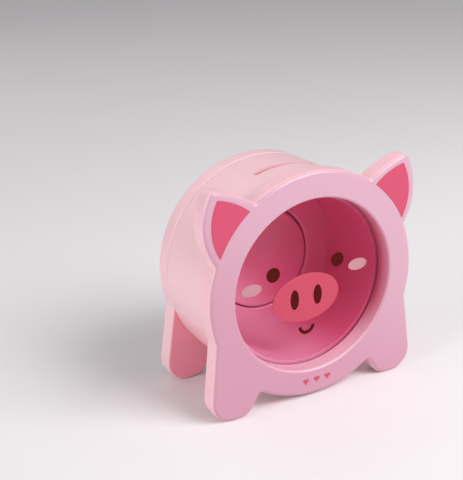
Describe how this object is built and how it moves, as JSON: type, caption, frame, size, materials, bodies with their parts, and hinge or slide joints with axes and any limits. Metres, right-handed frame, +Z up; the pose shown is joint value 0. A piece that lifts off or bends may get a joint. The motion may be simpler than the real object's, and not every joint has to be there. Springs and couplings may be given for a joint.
{
  "type": "wooden money box",
  "caption": "Wooden coin bank shaped like a pig: round drum on short legs with a clear window in front, a coin slot on top and a lift-out coin door behind.",
  "frame": {"origin": "on the table under the middle of the whole object, its pull included", "axes": "+X to the right seen from the window side, +Y from the window towards the coin door, +Z up; the drum lies along Y"},
  "size_m": [0.1398, 0.0842, 0.1375],
  "materials": {
    "face_paint": "fibreboard with satin mauve-pink paint",
    "body_paint": "fibreboard with satin pale pink paint outside and raspberry inside",
    "door_paint": "fibreboard with satin paint, raspberry inside and pale pink outside",
    "knob_wood": "turned beech with clear satin lacquer",
    "clear_pane": "clear polished acrylic",
    "raspberry_print": "flat raspberry paint layer",
    "snout_ink": "coral pad-printed ink",
    "dark_ink": "dark brown pad-printed ink",
    "blush_ink": "pale pink pad-printed ink",
    "dowel_wood": "bare beech",
    "magnet": "nickel-plated magnet"
  },
  "bodies": {
    "case": {"front_plate": "face_paint", "window_pane": "clear_pane", "drum_ring_front": "body_paint", "drum_ring_slot": "body_paint", "drum_ring_3": "body_paint", "drum_ring_4": "body_paint", "back_plate": "body_paint", "seat_magnets": "magnet", "eye_print": "dark_ink", "cheek_print": "blush_ink", "snout_print": "snout_ink", "nostril_print": "dark_ink", "smile_print": "dark_ink", "motif_print": "raspberry_print", "ear_lining_right": "raspberry_print", "ear_lining_left": "raspberry_print", "dowels_1": "dowel_wood", "dowels_2": "dowel_wood", "dowels_3": "dowel_wood", "dowels_4": "dowel_wood", "dowels_5": "dowel_wood"},
    "coin_door": {"door_plug": "door_paint", "door_cover": "door_paint", "door_knob": "knob_wood", "door_magnets": "magnet"}
  },
  "joints": [
    {"name": "coin_door_pull", "type": "slide", "parent": "case", "child": "coin_door", "axis": [0, 1, 0], "range_m": [0, 0.06]}
  ]
}
